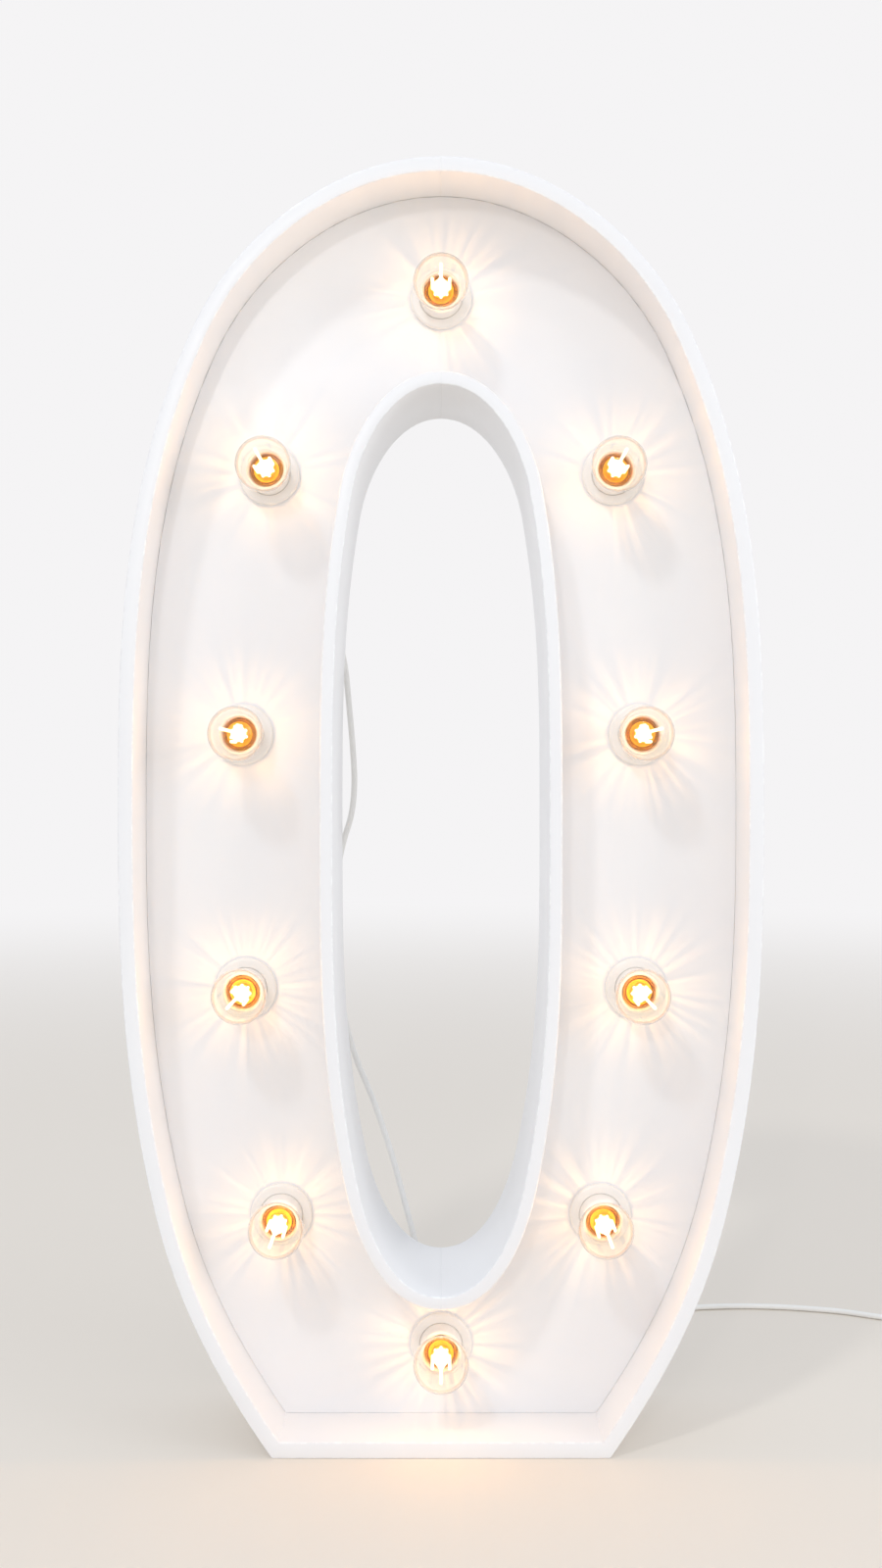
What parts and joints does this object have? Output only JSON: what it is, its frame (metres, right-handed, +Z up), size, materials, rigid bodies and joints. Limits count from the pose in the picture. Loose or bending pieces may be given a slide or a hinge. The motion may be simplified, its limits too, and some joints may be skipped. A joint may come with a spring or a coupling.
{
  "type": "marquee number lamp",
  "caption": "Free-standing marquee number zero: a deep white boxed outline round an open centre, with a recessed panel of globe bulbs in screw holders and a mains cord.",
  "frame": {"origin": "centre of the base's underside, on the floor", "axes": "+Z up, +X to the right as seen from the front, the lit front faces -Y"},
  "size_m": [0.9434, 0.4408, 1.2],
  "materials": {
    "painted_board": "satin white paint",
    "bare_wood": "sawn",
    "holder_plastic": "gloss",
    "insulator": "matte",
    "contact_brass": "bright",
    "cable_sheath": "satin",
    "tie_band": "woven",
    "pin_metal": "nickel plated",
    "bulb_glass": "clear, warm tint",
    "filament": "glowing",
    "bulb_cap": "gold plated"
  },
  "bodies": {
    "body": {"side_wall_left": "painted_board", "side_wall_right": "painted_board", "base_board": "painted_board", "counter_wall_left": "painted_board", "counter_wall_right": "painted_board", "face_panel": "painted_board", "glue_blocks": "bare_wood", "lampholder_barrels": "holder_plastic", "shade_rings": "holder_plastic", "lampholder_cores": "insulator", "screw_shells": "contact_brass", "centre_contacts": "contact_brass", "lampholder_rear_caps": "holder_plastic", "loom_cable": "cable_sheath", "cable_clips": "holder_plastic", "terminal_rose_base": "holder_plastic", "terminal_rose_cover": "holder_plastic", "terminal_block": "insulator", "cord_grip": "cable_sheath", "mains_cord": "cable_sheath", "cord_coil": "cable_sheath", "cord_tail": "cable_sheath", "cord_tie": "tie_band", "plug_body": "holder_plastic", "plug_pins": "pin_metal"},
    "bulb_top": {"bulb_glass_top": "bulb_glass", "bulb_filament_top": "filament", "bulb_cap_top": "bulb_cap"},
    "bulb_shoulder_right": {"bulb_glass_shoulder_right": "bulb_glass", "bulb_filament_shoulder_right": "filament", "bulb_cap_shoulder_right": "bulb_cap"},
    "bulb_upper_right": {"bulb_glass_upper_right": "bulb_glass", "bulb_filament_upper_right": "filament", "bulb_cap_upper_right": "bulb_cap"},
    "bulb_lower_right": {"bulb_glass_lower_right": "bulb_glass", "bulb_filament_lower_right": "filament", "bulb_cap_lower_right": "bulb_cap"},
    "bulb_foot_right": {"bulb_glass_foot_right": "bulb_glass", "bulb_filament_foot_right": "filament", "bulb_cap_foot_right": "bulb_cap"},
    "bulb_bottom": {"bulb_glass_bottom": "bulb_glass", "bulb_filament_bottom": "filament", "bulb_cap_bottom": "bulb_cap"},
    "bulb_foot_left": {"bulb_glass_foot_left": "bulb_glass", "bulb_filament_foot_left": "filament", "bulb_cap_foot_left": "bulb_cap"},
    "bulb_lower_left": {"bulb_glass_lower_left": "bulb_glass", "bulb_filament_lower_left": "filament", "bulb_cap_lower_left": "bulb_cap"},
    "bulb_upper_left": {"bulb_glass_upper_left": "bulb_glass", "bulb_filament_upper_left": "filament", "bulb_cap_upper_left": "bulb_cap"},
    "bulb_shoulder_left": {"bulb_glass_shoulder_left": "bulb_glass", "bulb_filament_shoulder_left": "filament", "bulb_cap_shoulder_left": "bulb_cap"}
  },
  "joints": [
    {"name": "bulb_top_turn", "type": "hinge", "parent": "body", "child": "bulb_top", "pos_m": [0, -0.01, 1.087], "axis": [0, -1, 0], "range_deg": [0, 1170]},
    {"name": "bulb_shoulder_right_turn", "type": "hinge", "parent": "body", "child": "bulb_shoulder_right", "pos_m": [0.16519, -0.01, 0.918], "axis": [0, -1, 0], "range_deg": [0, 1170]},
    {"name": "bulb_upper_right_turn", "type": "hinge", "parent": "body", "child": "bulb_upper_right", "pos_m": [0.19065, -0.01, 0.668], "axis": [0, -1, 0], "range_deg": [0, 1170]},
    {"name": "bulb_lower_right_turn", "type": "hinge", "parent": "body", "child": "bulb_lower_right", "pos_m": [0.18747, -0.01, 0.424], "axis": [0, -1, 0], "range_deg": [0, 1170]},
    {"name": "bulb_foot_right_turn", "type": "hinge", "parent": "body", "child": "bulb_foot_right", "pos_m": [0.15318, -0.01, 0.207], "axis": [0, -1, 0], "range_deg": [0, 1170]},
    {"name": "bulb_bottom_turn", "type": "hinge", "parent": "body", "child": "bulb_bottom", "pos_m": [0, -0.01, 0.08275], "axis": [0, -1, 0], "range_deg": [0, 1170]},
    {"name": "bulb_foot_left_turn", "type": "hinge", "parent": "body", "child": "bulb_foot_left", "pos_m": [-0.15318, -0.01, 0.207], "axis": [0, -1, 0], "range_deg": [0, 1170]},
    {"name": "bulb_lower_left_turn", "type": "hinge", "parent": "body", "child": "bulb_lower_left", "pos_m": [-0.18747, -0.01, 0.424], "axis": [0, -1, 0], "range_deg": [0, 1170]},
    {"name": "bulb_upper_left_turn", "type": "hinge", "parent": "body", "child": "bulb_upper_left", "pos_m": [-0.19065, -0.01, 0.668], "axis": [0, -1, 0], "range_deg": [0, 1170]},
    {"name": "bulb_shoulder_left_turn", "type": "hinge", "parent": "body", "child": "bulb_shoulder_left", "pos_m": [-0.16519, -0.01, 0.918], "axis": [0, -1, 0], "range_deg": [0, 1170]}
  ]
}
